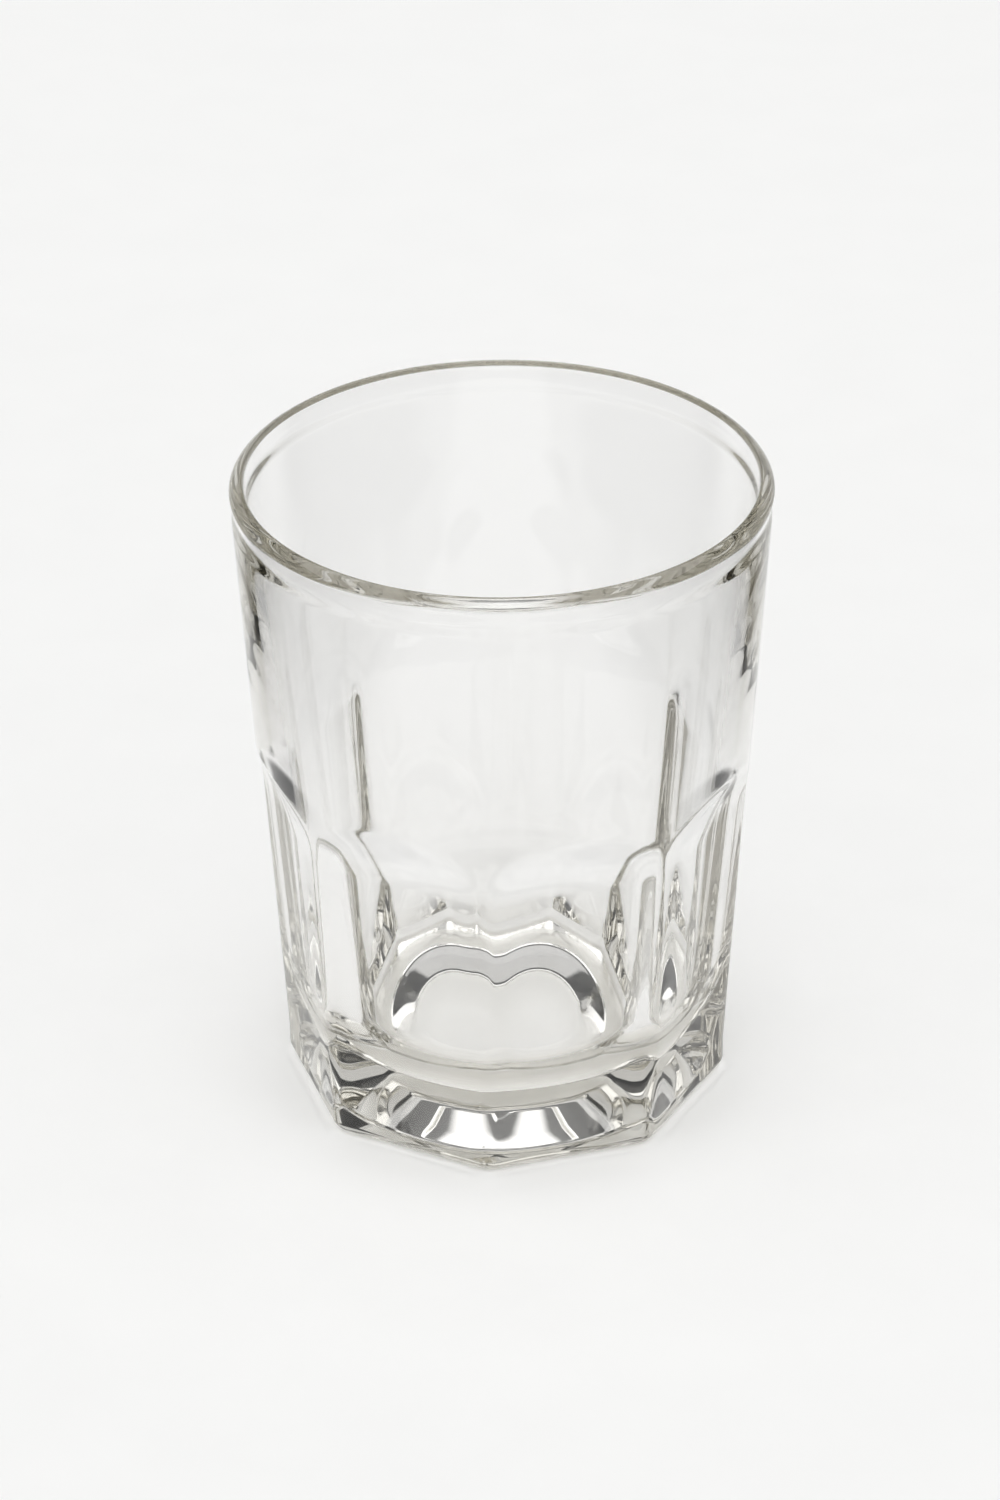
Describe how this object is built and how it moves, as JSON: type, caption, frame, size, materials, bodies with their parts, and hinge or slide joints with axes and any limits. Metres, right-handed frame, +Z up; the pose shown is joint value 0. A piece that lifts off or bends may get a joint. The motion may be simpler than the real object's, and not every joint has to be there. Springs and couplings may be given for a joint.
{
  "type": "rocks glass",
  "caption": "Clear pressed rocks glass with a round beaded rim, tapered wall, arch-topped flat panels and a thick faceted base, for short drinks over ice.",
  "frame": {"origin": "middle of the face that the glass stands on", "axes": "+Z up along the glass's axis, out of the mouth; a crease between two panels faces -Y"},
  "size_m": [0.08, 0.08, 0.1],
  "materials": {
    "clear_glass": "fire-polished pressed soda-lime glass, clear with a faint grey-green edge"
  },
  "bodies": {
    "root": {"rim": "clear_glass", "upper_wall": "clear_glass", "panel_wall": "clear_glass", "base": "clear_glass"}
  },
  "joints": []
}
